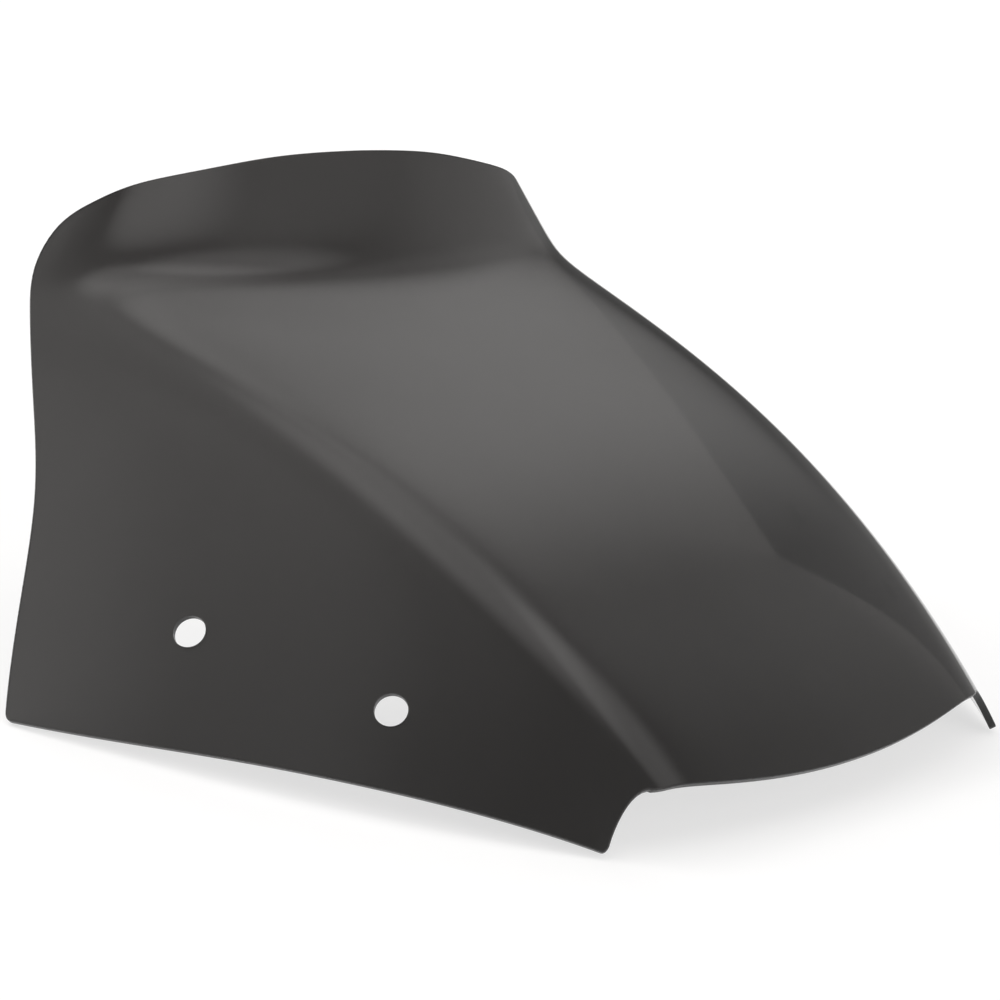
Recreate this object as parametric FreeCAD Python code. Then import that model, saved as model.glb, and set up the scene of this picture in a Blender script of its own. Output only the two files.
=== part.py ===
import FreeCAD, Part

import math
import os

# A motorcycle fairing windshield: one thermoformed sheet of tinted plastic, mirrored left to right.
# The sheet has a top panel, two side panels that lean out from two soft ridges, and an upturned rear lip.
# It is designed as a height over the plan, x across and y from nose (minus) to lip (plus), in millimetres,
# then thickened inwards, trimmed square to its own surface, drilled, and set down on its lowest points.

THICKNESS = 3.0
HOLE_DIAMETER = 12.0

# Guide lines, each a smooth curve of y through (y, value) pairs.
RIDGE_HEIGHT = ((-200.0, 18.9), (-100.0, 80.9), (0.0, 115.2), (100.0, 135.5))
RIDGE_HALF_WIDTH = ((-200.0, 100.1), (-50.0, 125.8), (100.0, 150.2))
FOOT_HALF_WIDTH = ((-200.0, 117.2), (-125.0, 176.5), (-50.0, 212.0), (25.0, 239.9), (100.0, 272.1))
RIDGE_SOFTNESS = ((-200.0, 5.4), (-50.0, 7.7), (100.0, 9.6))

# The lip turns up along a line that starts LIP_START behind the middle and sweeps back to each side,
# where the bend is sharper.
LIP_START = 65.2
LIP_SWEEP = 25.8
LIP_SWEEP_WIDTH = 133.0
LIP_SLOPE = 2.2
LIP_SOFTNESS = 15.2
LIP_SOFTNESS_FALL = 5.2

# Half outline in plan, from the middle of the lip round to the middle of the nose.
LIP_MIDDLE = (0.0, 85.3)
LIP_AND_REAR_EDGE = ((50.0, 87.9), (99.0, 95.7), (125.0, 104.9), (137.0, 109.4), (149.9, 105.9),
                     (157.3, 97.2), (174.9, 68.1), (190.8, 42.5), (209.3, 22.2))
REAR_CORNER = (230.3, -1.3)
BOTTOM_EDGE = ((212.1, -42.3), (192.0, -82.9), (171.1, -121.0), (148.1, -157.8))
TAB_TIP = (122.6, -193.8)
NOTCH = ((115.4, -191.3), (106.8, -191.0))
NOSE_END = (98.9, -194.8)
NOSE_MIDDLE = (0.0, -205.4)
REAR_CORNER_RADIUS = 3.5
TAB_CORNER_RADIUS = 2.5

# Centres of the two holes of each side panel, in plan.
HOLES = {"rear": (182.6, -40.1), "front": (153.9, -115.1)}

# The sheet is worked out on a square grid that reaches past the outline on every side.
GRID_STEP = 6.0
GRID_HALF_WIDTH = 240.0
GRID_FRONT = -210.0
GRID_REAR = 120.0
PRISM_BOTTOM = -100.0
PRISM_TOP = 300.0
OFFSET_TOLERANCE = 0.001
BOX_TOLERANCE = 0.02


def smooth_through(pairs, y):
    """Value at y of the lowest polynomial through the (y, value) pairs."""
    total = 0.0
    for i, (station, value) in enumerate(pairs):
        for j, (other, _) in enumerate(pairs):
            if i != j:
                value *= (y - other) / (station - other)
        total += value
    return total


def soft_ramp(distance, softness):
    """Zero before the start and the distance after it, with a rounded start."""
    return (distance + math.hypot(distance, softness)) / 2


def soft_minimum(first, second, softness):
    """The lower of two heights, with the crease between them rounded."""
    return (first + second) / 2 - math.hypot((first - second) / 2, softness)


def sheet_height(x, y):
    """Height of the sheet's outer surface over the plan."""
    across = abs(x)
    ridge_height = smooth_through(RIDGE_HEIGHT, y)
    ridge_half_width = smooth_through(RIDGE_HALF_WIDTH, y)
    foot_half_width = smooth_through(FOOT_HALF_WIDTH, y)
    lip_start = LIP_START + LIP_SWEEP * (across / LIP_SWEEP_WIDTH) ** 2
    lip_softness = LIP_SOFTNESS - LIP_SOFTNESS_FALL * (across / LIP_SWEEP_WIDTH) ** 2
    top_panel = ridge_height + LIP_SLOPE * soft_ramp(y - lip_start, lip_softness)
    side_panel = ridge_height * (foot_half_width - across) / (foot_half_width - ridge_half_width)
    return soft_minimum(top_panel, side_panel, smooth_through(RIDGE_SOFTNESS, y))


def sheet_point(x, y):
    return FreeCAD.Vector(x, y, sheet_height(x, y))


def sheet_normal(x, y):
    """Outward unit normal of the sheet."""
    reach = 0.01
    along_x = sheet_point(x + reach, y) - sheet_point(x - reach, y)
    along_y = sheet_point(x, y + reach) - sheet_point(x, y - reach)
    return along_x.cross(along_y).normalize()


def outer_surface():
    columns = int(2 * GRID_HALF_WIDTH / GRID_STEP) + 1
    rows = int((GRID_REAR - GRID_FRONT) / GRID_STEP) + 1
    heights = [[sheet_height(-GRID_HALF_WIDTH + i * GRID_STEP, GRID_FRONT + j * GRID_STEP)
                for j in range(rows)] for i in range(columns)]
    surface = Part.BSplineSurface()
    surface.interpolate(heights, -GRID_HALF_WIDTH, GRID_STEP, GRID_FRONT, GRID_STEP)
    return surface.toShape()


def plan_point(place, side=1):
    return FreeCAD.Vector(side * place[0], place[1], 0)


def curve_through(points):
    curve = Part.BSplineCurve()
    curve.interpolate(points)
    return curve.toShape()


def side_outline(side):
    """The bottom edge and notch of one side panel."""
    bottom = [plan_point(p, side) for p in (REAR_CORNER,) + BOTTOM_EDGE + (TAB_TIP,)]
    notch = [plan_point(p, side) for p in (TAB_TIP,) + NOTCH + (NOSE_END,)]
    return [curve_through(bottom), curve_through(notch)]


def outline_prism():
    """Upright prism over the outline, with the corners of the side panels rounded."""
    right = [plan_point(p) for p in LIP_AND_REAR_EDGE + (REAR_CORNER,)]
    left = [plan_point(p, -1) for p in (REAR_CORNER,) + LIP_AND_REAR_EDGE[::-1]]
    rear = curve_through(left + [plan_point(LIP_MIDDLE)] + right)
    nose = Part.Arc(plan_point(NOSE_END), plan_point(NOSE_MIDDLE), plan_point(NOSE_END, -1)).toShape()
    edges = [rear, nose] + side_outline(1) + side_outline(-1)
    wire = Part.Wire(Part.__sortEdges__(edges))
    prism = Part.Face(wire).extrude(FreeCAD.Vector(0, 0, PRISM_TOP - PRISM_BOTTOM))
    prism.translate(FreeCAD.Vector(0, 0, PRISM_BOTTOM))
    for corner, radius in ((REAR_CORNER, REAR_CORNER_RADIUS), (TAB_TIP, TAB_CORNER_RADIUS)):
        prism = prism.makeFillet(radius, upright_edges(prism, corner))
    return prism


def upright_edges(solid, corner):
    """The two upright edges of the prism over a corner and its mirror image."""
    found = []
    for edge in solid.Edges:
        centre = edge.CenterOfMass
        if math.hypot(abs(centre.x) - corner[0], centre.y - corner[1]) < 0.01:
            found.append(edge)
    return found


def hole_axes():
    """Name, centre in mid-sheet, and outward direction of each mounting hole."""
    axes = []
    for place, (x, y) in HOLES.items():
        for side, hand in ((-1, "left"), (1, "right")):
            normal = sheet_normal(side * x, y)
            centre = sheet_point(side * x, y) - normal * THICKNESS / 2
            axes.append((f"{hand}_{place}_hole", centre, normal))
    return axes


def drill(sheet):
    """Cuts the mounting holes square to the sheet."""
    length = 4 * THICKNESS
    for _, centre, normal in hole_axes():
        drill_bit = Part.makeCylinder(HOLE_DIAMETER / 2, length, centre - normal * length / 2, normal)
        sheet = sheet.cut(drill_bit)
    return sheet.Solids[0]


def make_screen():
    skin = outer_surface().common(outline_prism())
    return drill(skin.Faces[0].makeOffsetShape(-THICKNESS, OFFSET_TOLERANCE, fill=True))


def under_middle(shape):
    """The point under the middle of the shape's box, at the height of its lowest point."""
    points = shape.tessellate(BOX_TOLERANCE)[0]
    across = [p.x for p in points]
    along = [p.y for p in points]
    lowest = min(p.z for p in points)
    return FreeCAD.Vector((min(across) + max(across)) / 2, (min(along) + max(along)) / 2, lowest)


screen = make_screen()
origin = under_middle(screen)
screen.translate(-origin)

os.makedirs("parts", exist_ok=True)
screen.exportStep("parts/screen.step")

print("origin", origin, "volume", round(screen.Volume), "valid", screen.isValid())
for name, centre, normal in hole_axes():
    print(name, centre - origin, normal)
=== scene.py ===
import math

import bpy
import numpy as np
from mathutils import Matrix, Vector
from mathutils.geometry import delaunay_2d_cdt


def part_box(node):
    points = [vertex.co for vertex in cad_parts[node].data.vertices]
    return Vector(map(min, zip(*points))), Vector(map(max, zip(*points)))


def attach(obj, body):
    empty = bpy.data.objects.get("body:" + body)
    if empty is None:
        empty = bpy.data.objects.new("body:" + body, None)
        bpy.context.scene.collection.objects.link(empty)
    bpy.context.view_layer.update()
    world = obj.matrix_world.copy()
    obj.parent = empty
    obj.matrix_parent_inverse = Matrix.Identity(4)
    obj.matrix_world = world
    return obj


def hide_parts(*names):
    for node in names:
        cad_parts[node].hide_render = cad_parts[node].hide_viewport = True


# A smoke-tinted motorcycle windshield screen: one thermoformed sheet with four mounting holes.
# The shape is worked out in millimetres over its plan, x across the motorcycle and y towards the rider,
# and turned into metres when the object is made.

THICKNESS = 3.0
HOLE_RADIUS = 6.0
EDGE_ROUND = 0.6
HOLE_EDGE_ROUND = 0.35

# Distance along the screen, and the height or half width of the ridge and of the side panel's foot there
RIDGE_HEIGHT = ((-200.0, 18.9), (-100.0, 80.9), (0.0, 115.2), (100.0, 135.5))
RIDGE_HALF_WIDTH = ((-200.0, 100.1), (-50.0, 125.8), (100.0, 150.2))
FOOT_HALF_WIDTH = ((-200.0, 117.2), (-125.0, 176.5), (-50.0, 212.0), (25.0, 239.9), (100.0, 272.1))
RIDGE_SOFTNESS = ((-200.0, 5.4), (-50.0, 7.7), (100.0, 9.6))

# The lip starts further back, and bends up more sharply, towards the sides
LIP_START = 65.2
LIP_SWEEP = 25.8
LIP_SWEEP_WIDTH = 133.0
LIP_SLOPE = 2.2
LIP_SOFTNESS = 15.2
LIP_SOFTNESS_FALL = 5.2

# Outline of the right half, from the middle of the lip round to the middle of the nose
LIP_MIDDLE = (0.0, 85.3)
LIP_AND_REAR_EDGE = (
    (50.0, 87.9), (99.0, 95.7), (125.0, 104.9), (137.0, 109.4), (149.9, 105.9),
    (157.3, 97.2), (174.9, 68.1), (190.8, 42.5), (209.3, 22.2),
)
REAR_CORNER = (230.3, -1.3)
BOTTOM_EDGE = ((212.1, -42.3), (192.0, -82.9), (171.1, -121.0), (148.1, -157.8))
TAB_TIP = (122.6, -193.8)
NOTCH = ((115.4, -191.3), (106.8, -191.0))
NOSE_END = (98.9, -194.8)
NOSE_MIDDLE = (0.0, -205.4)
REAR_CORNER_RADIUS = 3.5
TAB_CORNER_RADIUS = 2.5
NOSE_CORNER_RADIUS = 22.0
HOLES = ((182.6, -40.1), (153.9, -115.1))

# In metres, in the frame
CAMERA_PLACE = (-0.80171, -0.66056, 0.36253)
CAMERA_AIM = (0.02218, 0.04812, 0.05288)
CAMERA_ROLL = 8.21
CAMERA_LENS = 97.2

# Each soft light: azimuth from the rear round to the right, elevation and half spread in degrees, brightness
ROOM_BRIGHTNESS = 0.17
SOFT_LIGHTS = (
    (95, 80, 26, 0.85),
    (80, 72, 38, 0.15),
    (130, 59, 18, 0.62),
    (186, 28, 31, 1.15),
    (150, 24, 28, 0.30),
    (-10, 60, 40, 0.40),
    (-60, 60, 40, 0.24),
    (-76, 48, 22, 0.22),
    (48, 42, 30, 0.72),
    (80, 42, 22, 0.18),
    (0, 20, 45, 2.60),
    (-50, 15, 40, 1.90),
    (100, 8, 40, 0.30),
)

FLOOR_REACH = 30.0
FLOOR_GAP = 0.0003
MILLIMETRES_PER_METRE = 1000

# How finely the mesh follows the shape, in millimetres or in steps
MESH_STEP = 2.5
ROW_STEP = MESH_STEP * 0.87
RIM_CLEARANCE = MESH_STEP * 0.65
GRID_HALF_WIDTH = 240
GRID_FRONT = -205
GRID_REAR = 112
CORNER_STEP = 0.45
CORNER_CLEARANCE = 0.3
CORNER_SIGHT = 3
HOLE_STEPS = 60
ROUND_STEPS = 4
SLOPE_REACH = 0.01


def smooth_through(pairs, y):
    """The lowest-order smooth curve through a few (station, value) pairs."""
    total = 0.0
    for station, value in pairs:
        share = value
        for other, _ in pairs:
            if other != station:
                share = share * (y - other) / (station - other)
        total = total + share
    return total


def sheet_height(x, y):
    """Height of the sheet's outer surface over the plan."""
    across = np.abs(x)
    ridge_height = smooth_through(RIDGE_HEIGHT, y)
    ridge_half_width = smooth_through(RIDGE_HALF_WIDTH, y)
    foot_half_width = smooth_through(FOOT_HALF_WIDTH, y)
    past_lip = y - LIP_START - LIP_SWEEP * (across / LIP_SWEEP_WIDTH) ** 2
    lip_softness = LIP_SOFTNESS - LIP_SOFTNESS_FALL * (across / LIP_SWEEP_WIDTH) ** 2
    top_panel = ridge_height + LIP_SLOPE * (past_lip + np.hypot(past_lip, lip_softness)) / 2
    side_panel = ridge_height * (foot_half_width - across) / (foot_half_width - ridge_half_width)
    softness = smooth_through(RIDGE_SOFTNESS, y)
    return (top_panel + side_panel) / 2 - np.hypot((top_panel - side_panel) / 2, softness)


def lifted(plan):
    """Points of the outer surface over an array of plan points."""
    return np.column_stack((plan, sheet_height(plan[:, 0], plan[:, 1])))


def unit(vectors):
    """The same directions with length one."""
    return vectors / np.linalg.norm(vectors, axis=1, keepdims=True)


def sheet_normals(plan):
    """Outward unit normals of the outer surface."""
    x, y, reach = plan[:, 0], plan[:, 1], SLOPE_REACH
    along_x = (sheet_height(x + reach, y) - sheet_height(x - reach, y)) / (2 * reach)
    along_y = (sheet_height(x, y + reach) - sheet_height(x, y - reach)) / (2 * reach)
    return unit(np.column_stack((-along_x, -along_y, np.ones(len(plan)))))


def end_slope(times, points, at):
    """Slope, at one of four stations, of the cubic through them."""
    slope = np.zeros(2)
    for i in range(4):
        others = [j for j in range(4) if j != i]
        below = np.prod([times[i] - times[j] for j in others])
        above = sum(np.prod([times[at] - times[j] for j in others if j != k]) for k in others)
        slope += points[i] * above / below
    return slope


def spline(points):
    """Smooth plan curve through the points, as a list of points about a mesh step apart."""
    points = np.array(points, float)
    gaps = np.linalg.norm(np.diff(points, axis=0), axis=1)
    times = np.concatenate(([0.0], np.cumsum(gaps)))
    count = len(points)
    matrix = np.zeros((count, count))
    right = np.zeros((count, 2))
    matrix[0, 0] = matrix[-1, -1] = 1.0
    right[0] = end_slope(times[:4], points[:4], 0)
    right[-1] = end_slope(times[-4:], points[-4:], 3)
    for i in range(1, count - 1):
        before, after = gaps[i - 1], gaps[i]
        matrix[i, i - 1:i + 2] = (after, 2 * (before + after), before)
        pull_before = after * (points[i] - points[i - 1]) / before
        pull_after = before * (points[i + 1] - points[i]) / after
        right[i] = 3 * (pull_before + pull_after)
    slopes = np.linalg.solve(matrix, right)
    made = []
    for i, gap in enumerate(gaps):
        steps = max(4, math.ceil(gap / MESH_STEP))
        for t in np.arange(steps) / steps:
            start = (2 * t**3 - 3 * t**2 + 1) * points[i] + (t**3 - 2 * t**2 + t) * gap * slopes[i]
            made.append(start + (3 * t**2 - 2 * t**3) * points[i + 1]
                        + (t**3 - t**2) * gap * slopes[i + 1])
    return made + [points[-1]]


def nose_arc():
    """Circular arc across the nose, from left to right."""
    depth = NOSE_END[1] - NOSE_MIDDLE[1]
    radius = (NOSE_END[0] ** 2 + depth**2) / (2 * depth)
    half_angle = math.asin(NOSE_END[0] / radius)
    angles = np.linspace(-half_angle, half_angle, math.ceil(2 * NOSE_END[0] / MESH_STEP) + 1)
    centre = NOSE_MIDDLE[1] + radius
    return [np.array((radius * math.sin(a), centre - radius * math.cos(a))) for a in angles]


def round_corner(loop, corner, radius):
    """Rounds the loop's corner at this place. The loop comes back starting there."""
    distances = [np.linalg.norm(p - corner) for p in loop]
    at = int(np.argmin(distances))
    loop = loop[at:] + loop[:at]
    corner = loop[0]
    on = (loop[CORNER_SIGHT] - corner) / np.linalg.norm(loop[CORNER_SIGHT] - corner)
    back = (loop[-CORNER_SIGHT] - corner) / np.linalg.norm(loop[-CORNER_SIGHT] - corner)
    half_angle = math.acos(float(back @ on)) / 2
    reach = radius / math.tan(half_angle)
    centre = corner + (back + on) / np.linalg.norm(back + on) * radius / math.sin(half_angle)
    first = corner + back * reach - centre
    last = corner + on * reach - centre
    turn = math.atan2(first[0] * last[1] - first[1] * last[0], float(first @ last))
    round_run = []
    for a in np.linspace(0, turn, math.ceil(radius * abs(turn) / CORNER_STEP) + 1):
        x = first[0] * math.cos(a) - first[1] * math.sin(a)
        y = first[0] * math.sin(a) + first[1] * math.cos(a)
        round_run.append(centre + np.array((x, y)))
    return round_run + [p for p in loop if np.linalg.norm(p - corner) > reach + CORNER_CLEARANCE]


def mirrored(points):
    """The same points on the other side of the sheet's middle."""
    return [p * np.array((-1, 1)) for p in points]


def outline():
    """The sheet's closed outline over the plan, anticlockwise, with no point twice."""
    right_edge = (REAR_CORNER,) + LIP_AND_REAR_EDGE[::-1]
    left_edge = tuple((-x, y) for x, y in right_edge[::-1])
    rear = spline(right_edge + (LIP_MIDDLE,) + left_edge)
    bottom = spline((REAR_CORNER,) + BOTTOM_EDGE + (TAB_TIP,))
    notch = spline((TAB_TIP,) + NOTCH + (NOSE_END,))
    loop = []
    for run in (rear, mirrored(bottom), mirrored(notch), nose_arc(), notch[::-1], bottom[::-1]):
        loop += run[:-1]
    for corner, radius in ((REAR_CORNER, REAR_CORNER_RADIUS), (TAB_TIP, TAB_CORNER_RADIUS),
                           (NOSE_END, NOSE_CORNER_RADIUS)):
        for side in (-1, 1):
            loop = round_corner(loop, np.array((side * corner[0], corner[1])), radius)
    return np.array(loop)


def outline_rim():
    """Where the outer face stops, a round short of the outline, and the way out of the sheet there."""
    plan = outline()
    points = lifted(plan)
    along = unit(np.roll(points, -1, axis=0) - np.roll(points, 1, axis=0))
    outwards = unit(np.cross(along, sheet_normals(plan)))
    return (points - EDGE_ROUND * outwards)[:, :2], outwards


def hole_rim(x, y):
    """The same round a mounting hole, clockwise, with the way out pointing into the hole."""
    centre = lifted(np.array([[x, y]]))[0]
    axis = sheet_normals(np.array([[x, y]]))[0]
    level = np.cross(axis, (0, 0, 1))
    level /= np.linalg.norm(level)
    slope = np.cross(axis, level)
    plan, outwards = [], []
    for a in np.linspace(0, -2 * math.pi, HOLE_STEPS, endpoint=False):
        away = level * math.cos(a) + slope * math.sin(a)
        point = centre + away * (HOLE_RADIUS + HOLE_EDGE_ROUND)
        for _ in range(4):  # slides the point on to the curved face
            point = point + axis * axis[2] * (sheet_height(point[0], point[1]) - point[2])
        plan.append(point[:2])
        outwards.append(-away)
    return np.array(plan), np.array(outwards)


def inside(points, loop):
    """Which points lie inside a closed loop."""
    crossings = np.zeros(len(points), int)
    for a, b in zip(loop, np.roll(loop, -1, axis=0)):
        level = (a[1] > points[:, 1]) != (b[1] > points[:, 1])
        rise = b[1] - a[1] if b[1] != a[1] else 1.0
        crossings += level & (points[:, 0] < a[0] + (b[0] - a[0]) * (points[:, 1] - a[1]) / rise)
    return crossings % 2 == 1


def clear_of(points, loop, gap):
    """Which points are at least a gap away from every point of a loop."""
    nearest = np.full(len(points), 1e9)
    for place in loop:
        nearest = np.minimum(nearest, np.hypot(points[:, 0] - place[0], points[:, 1] - place[1]))
    return nearest > gap


def plan_mesh(rims):
    """Triangles over the plan, inside the first rim and outside the others."""
    columns = np.arange(-GRID_HALF_WIDTH, GRID_HALF_WIDTH + 1, MESH_STEP)
    rows = np.arange(GRID_FRONT, GRID_REAR, ROW_STEP)
    grid = np.array([(x + (j % 2) * MESH_STEP / 2, y) for j, y in enumerate(rows) for x in columns])
    grid = grid[inside(grid, rims[0])]
    for i, rim in enumerate(rims):
        grid = grid[clear_of(grid, rim, RIM_CLEARANCE)]
        if i:
            grid = grid[~inside(grid, rim)]
    edges, starts, count = [], [], 0
    for rim in rims:
        size = len(rim)
        edges += [(count + i, count + (i + 1) % size) for i in range(size)]
        starts.append(count)
        count += size
    places = [Vector(p) for p in np.concatenate(rims + [grid])]
    made = delaunay_2d_cdt(places, edges, [], 1, 1e-7)
    triangles = [tuple(made[3][v][0] for v in face) for face in made[2]]
    rim_of = np.full(len(places), -1)
    for i, rim in enumerate(rims):
        rim_of[starts[i]:starts[i] + len(rim)] = i
    kept = []
    for a, b, c in triangles:
        across_hole = rim_of[a] > 0 and rim_of[a] == rim_of[b] == rim_of[c]
        if not across_hole:
            kept.append((a, b, c))
    return np.array([tuple(p) for p in places]), kept, starts


def rounded_wall(points, normals, outwards, radius):
    """Rows of points and normals down the sheet's edge, with both arrises rounded."""
    rows = []
    for a in np.linspace(0, math.pi / 2, ROUND_STEPS + 1)[1:]:
        down = radius * (1 - math.cos(a))
        rows.append((points + radius * math.sin(a) * outwards - down * normals,
                     math.cos(a) * normals + math.sin(a) * outwards))
    for a in np.linspace(math.pi / 2, 0, ROUND_STEPS + 1)[:-1]:
        down = THICKNESS - radius * (1 - math.cos(a))
        rows.append((points + radius * math.sin(a) * outwards - down * normals,
                     math.sin(a) * outwards - math.cos(a) * normals))
    return rows


def build_sheet():
    """The sheet as one closed mesh: outer face, inner face and rounded edges."""
    rims = [(outline_rim(), EDGE_ROUND)] + [(hole_rim(x * side, y), HOLE_EDGE_ROUND)
                                            for x, y in HOLES for side in (-1, 1)]
    plan, triangles, starts = plan_mesh([rim[0][0] for rim in rims])
    outer = lifted(plan)
    normals = sheet_normals(plan)
    points = [outer, outer - THICKNESS * normals]
    directions = [normals, -normals]
    on_edge = [np.zeros(2 * len(plan))]
    faces = list(triangles) + [tuple(v + len(plan) for v in t[::-1]) for t in triangles]
    count = 2 * len(plan)
    for ((_, outwards), radius), start in zip(rims, starts):
        size = len(outwards)
        span = slice(start, start + size)
        levels = [start]
        for row, row_normals in rounded_wall(outer[span], normals[span], outwards, radius):
            points.append(row)
            directions.append(row_normals)
            on_edge.append(np.ones(size))
            levels.append(count)
            count += size
        levels.append(start + len(plan))
        for upper, lower in zip(levels, levels[1:]):
            for i in range(size):
                j = (i + 1) % size
                faces.append((upper + i, lower + i, lower + j, upper + j))
    return np.concatenate(points), np.concatenate(directions), np.concatenate(on_edge), faces


def make_screen():
    """The sheet as an object in metres, standing where the frame's sheet stands."""
    points, directions, on_edge, faces = build_sheet()
    low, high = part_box("screen")
    points = points / MILLIMETRES_PER_METRE
    middle = (points.min(axis=0) + points.max(axis=0)) / 2
    shift = np.array(((low[0] + high[0]) / 2 - middle[0], (low[1] + high[1]) / 2 - middle[1],
                      low[2] - points[:, 2].min()))
    mesh = bpy.data.meshes.new("tinted_sheet")
    mesh.from_pydata([tuple(p) for p in points + shift], [], faces)
    mesh.shade_smooth()
    mesh.normals_split_custom_set_from_vertices([tuple(n) for n in directions])
    edge = mesh.attributes.new("cut_edge", "FLOAT", "POINT")
    edge.data.foreach_set("value", on_edge.astype(np.float32))
    mesh.update()
    sheet = bpy.data.objects.new("tinted_sheet", mesh)
    bpy.context.scene.collection.objects.link(sheet)
    return sheet


def add_node(tree, kind, **settings):
    """Adds a node and sets its inputs, whose names are given with _ for each space."""
    node = tree.nodes.new(kind)
    for name, value in settings.items():
        node.inputs[name.replace("_", " ")].default_value = value
    return node


def noise(tree, place, scale, detail):
    """Noise over the object's own coordinates."""
    texture = add_node(tree, "ShaderNodeTexNoise", Scale=scale, Detail=detail)
    tree.links.new(place.outputs["Object"], texture.inputs["Vector"])
    return texture.outputs["Fac"]


def tones(tree, amount, start, first, end, last):
    """Colours that go from the first to the last as the amount goes from start to end."""
    ramp = add_node(tree, "ShaderNodeValToRGB")
    low, high = ramp.color_ramp.elements
    low.position, low.color = start, first
    high.position, high.color = end, last
    tree.links.new(amount, ramp.inputs["Fac"])
    return ramp.outputs["Color"]


def polish(tree, place, on_edge):
    """Roughness: handling leaves the faces a little hazier in patches, and the cut edge is duller."""
    haze = add_node(tree, "ShaderNodeMapRange", To_Min=0.02, To_Max=0.07)
    duller = add_node(tree, "ShaderNodeMath")
    duller.operation = "MULTIPLY_ADD"
    duller.inputs[1].default_value = 0.22
    tree.links.new(noise(tree, place, 24.0, 2.0), haze.inputs["Value"])
    tree.links.new(on_edge, duller.inputs[0])
    tree.links.new(haze.outputs["Result"], duller.inputs[2])
    return duller.outputs["Value"]


def relief(tree, place, on_edge):
    """Faint waves left by forming, and fine grinding marks on the cut edge."""
    waves = add_node(tree, "ShaderNodeBump", Strength=0.25, Distance=0.0004)
    marks = add_node(tree, "ShaderNodeBump", Distance=0.0001)
    tree.links.new(noise(tree, place, 16.0, 1.0), waves.inputs["Height"])
    tree.links.new(noise(tree, place, 900.0, 2.0), marks.inputs["Height"])
    tree.links.new(on_edge, marks.inputs["Strength"])
    tree.links.new(waves.outputs["Normal"], marks.inputs["Normal"])
    return marks.outputs["Normal"]


def smoke_material():
    """Dark smoke acrylic: a tinted glossy surface with a little dye in its thickness."""
    material = bpy.data.materials.new("smoke_acrylic")
    material.use_nodes = True
    tree = material.node_tree
    shader = tree.nodes["Principled BSDF"]
    shader.inputs["IOR"].default_value = 1.49
    shader.inputs["Transmission Weight"].default_value = 1.0
    place = add_node(tree, "ShaderNodeTexCoord")
    edge = add_node(tree, "ShaderNodeAttribute")
    edge.attribute_name = "cut_edge"
    on_edge = edge.outputs["Fac"]
    # the dark tint is a little stronger in some places than others
    tint = tones(tree, noise(tree, place, 9.0, 3.0),
                 0.3, (0.043, 0.041, 0.040, 1), 0.7, (0.053, 0.051, 0.050, 1))
    tree.links.new(tint, shader.inputs["Base Color"])
    tree.links.new(polish(tree, place, on_edge), shader.inputs["Roughness"])
    tree.links.new(relief(tree, place, on_edge), shader.inputs["Normal"])
    dye = add_node(tree, "ShaderNodeVolumeAbsorption", Color=(0.03, 0.025, 0.0, 1), Density=100.0)
    tree.links.new(dye.outputs["Volume"], tree.nodes["Material Output"].inputs["Volume"])
    return material


def stage_material():
    """A pale light table: a matt top, softly lit from below."""
    material = bpy.data.materials.new("pale_floor")
    material.use_nodes = True
    tree = material.node_tree
    shader = tree.nodes["Principled BSDF"]
    shader.inputs["Roughness"].default_value = 0.9
    shader.inputs["Specular IOR Level"].default_value = 0.1
    shader.inputs["Emission Strength"].default_value = 0.62
    place = add_node(tree, "ShaderNodeTexCoord")
    tone = tones(tree, noise(tree, place, 60.0, 2.0), 0.0, (0.39, 0.39, 0.39, 1), 1.0, (0.41, 0.41, 0.41, 1))
    tree.links.new(tone, shader.inputs["Base Color"])
    return material


def make_stage():
    """A wide pale floor at the height the screen stands on."""
    mesh = bpy.data.meshes.new("floor")
    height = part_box("screen")[0][2] - FLOOR_GAP
    corners = [(x * FLOOR_REACH, y * FLOOR_REACH, height) for x, y in ((-1, -1), (1, -1), (1, 1), (-1, 1))]
    mesh.from_pydata(corners, [], [(0, 1, 2, 3)])
    mesh.materials.append(stage_material())
    floor = bpy.data.objects.new("floor", mesh)
    bpy.context.scene.collection.objects.link(floor)


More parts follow.
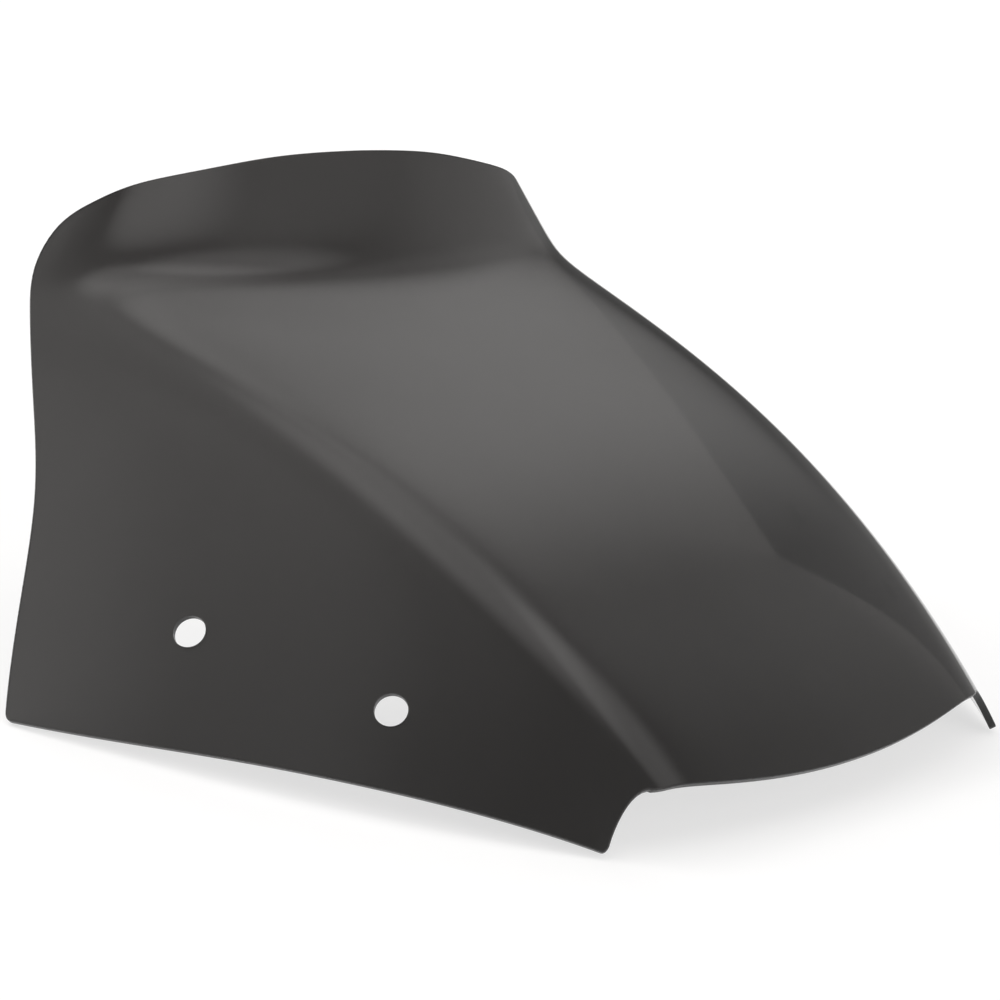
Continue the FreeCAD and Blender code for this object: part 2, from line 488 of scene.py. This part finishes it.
def soft_light(tree, towards, azimuth, elevation, spread, brightness):
    """What one light adds: all its brightness near its middle, fading to none at its half spread."""
    turn, rise = math.radians(azimuth), math.radians(elevation)
    facing = add_node(tree, "ShaderNodeVectorMath")
    facing.operation = "DOT_PRODUCT"
    facing.inputs[1].default_value = (
        math.sin(turn) * math.cos(rise), math.cos(turn) * math.cos(rise), math.sin(rise))
    glow = add_node(tree, "ShaderNodeMapRange", To_Max=brightness,
                    From_Min=math.cos(math.radians(spread)), From_Max=math.cos(math.radians(spread / 3)))
    glow.interpolation_type = "SMOOTHSTEP"
    tree.links.new(towards.outputs["Generated"], facing.inputs[0])
    tree.links.new(facing.outputs["Value"], glow.inputs["Value"])
    return glow.outputs["Result"]


def make_lighting():
    """A dim room with large soft lights."""
    world = bpy.data.worlds.new("studio")
    bpy.context.scene.world = world
    world.use_nodes = True
    tree = world.node_tree
    towards = add_node(tree, "ShaderNodeTexCoord")
    total = None
    for light in SOFT_LIGHTS:
        both = add_node(tree, "ShaderNodeMath")
        both.inputs[0].default_value = ROOM_BRIGHTNESS
        if total:
            tree.links.new(total, both.inputs[0])
        tree.links.new(soft_light(tree, towards, *light), both.inputs[1])
        total = both.outputs["Value"]
    background = tree.nodes["Background"]
    background.inputs["Color"].default_value = (1.0, 0.985, 0.975, 1)
    tree.links.new(total, background.inputs["Strength"])
    bpy.context.scene.view_settings.view_transform = "Standard"


def make_camera():
    """Looks down at the left side from in front, with the horizon tipped as the view needs."""
    data = bpy.data.cameras.new("camera")
    data.lens = CAMERA_LENS
    camera = bpy.data.objects.new("camera", data)
    camera.location = CAMERA_PLACE
    camera.rotation_mode = "QUATERNION"
    look = (Vector(CAMERA_AIM) - Vector(CAMERA_PLACE)).to_track_quat("-Z", "Y")
    roll = Matrix.Rotation(math.radians(CAMERA_ROLL), 4, "Z")
    camera.rotation_quaternion = look @ roll.to_quaternion()
    bpy.context.scene.collection.objects.link(camera)
    bpy.context.scene.camera = camera


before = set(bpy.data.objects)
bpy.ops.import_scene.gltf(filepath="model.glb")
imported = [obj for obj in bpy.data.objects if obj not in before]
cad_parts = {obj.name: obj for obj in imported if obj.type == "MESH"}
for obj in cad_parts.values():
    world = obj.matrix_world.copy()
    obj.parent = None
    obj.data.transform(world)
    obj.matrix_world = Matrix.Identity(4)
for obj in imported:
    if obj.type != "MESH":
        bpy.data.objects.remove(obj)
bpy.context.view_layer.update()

screen = make_screen()
screen.data.materials.append(smoke_material())
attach(screen, "root")
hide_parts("screen")

make_stage()
make_lighting()
make_camera()
